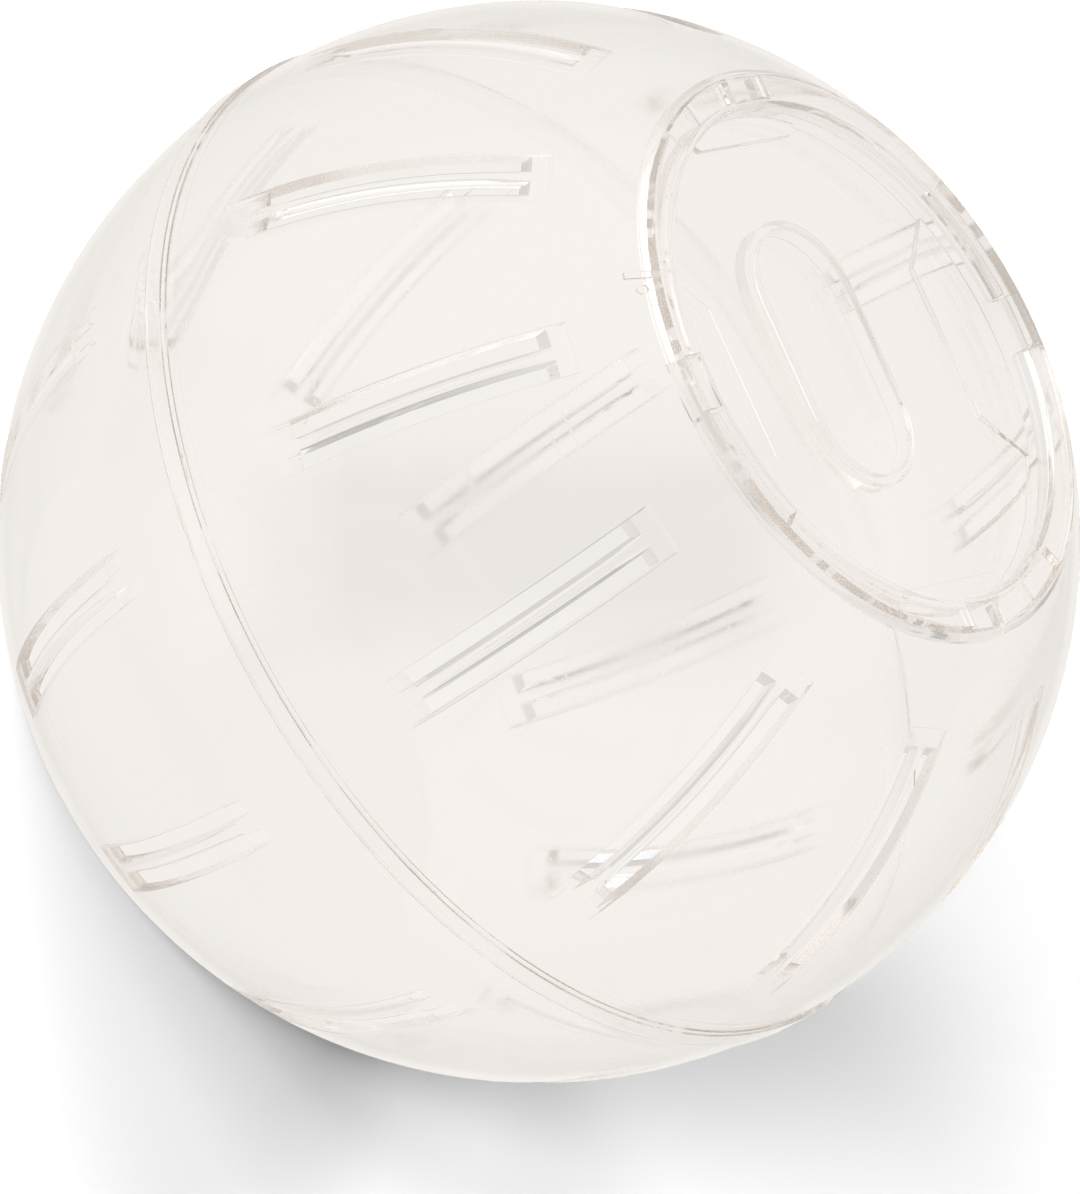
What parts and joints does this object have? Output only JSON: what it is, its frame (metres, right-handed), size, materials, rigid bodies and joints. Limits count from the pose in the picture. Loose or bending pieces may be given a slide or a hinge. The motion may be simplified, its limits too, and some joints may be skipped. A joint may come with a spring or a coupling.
{
  "type": "hamster ball",
  "caption": "Clear plastic exercise ball for a small pet: two slotted half shells plugged together at the equator, with a round dished door held by a bayonet rim.",
  "frame": {"origin": "centre of the ball, halfway between the closed flat and the top of the door's rim", "axes": "+Z along the ball's axis, from the closed flat towards the door; +X towards one bayonet lug and along the door's finger pocket"},
  "size_m": [0.1812, 0.1812, 0.1496],
  "materials": {
    "shell_clear": "clear, colourless, glossy moulded polystyrene",
    "door_clear": "clear, colourless, glossy moulded polystyrene"
  },
  "bodies": {
    "rear_half": {"rear_shell": "shell_clear"},
    "front_half": {"front_shell": "shell_clear"},
    "door": {"door": "door_clear"}
  },
  "joints": [
    {"name": "halves_separate", "type": "slide", "parent": "rear_half", "child": "front_half", "axis": [0, 0, 1], "range_m": [0, 0.1]},
    {"name": "door_lift", "type": "slide", "parent": "front_half", "child": "door", "axis": [0, 0, 1], "range_m": [0, 0.08]}
  ]
}
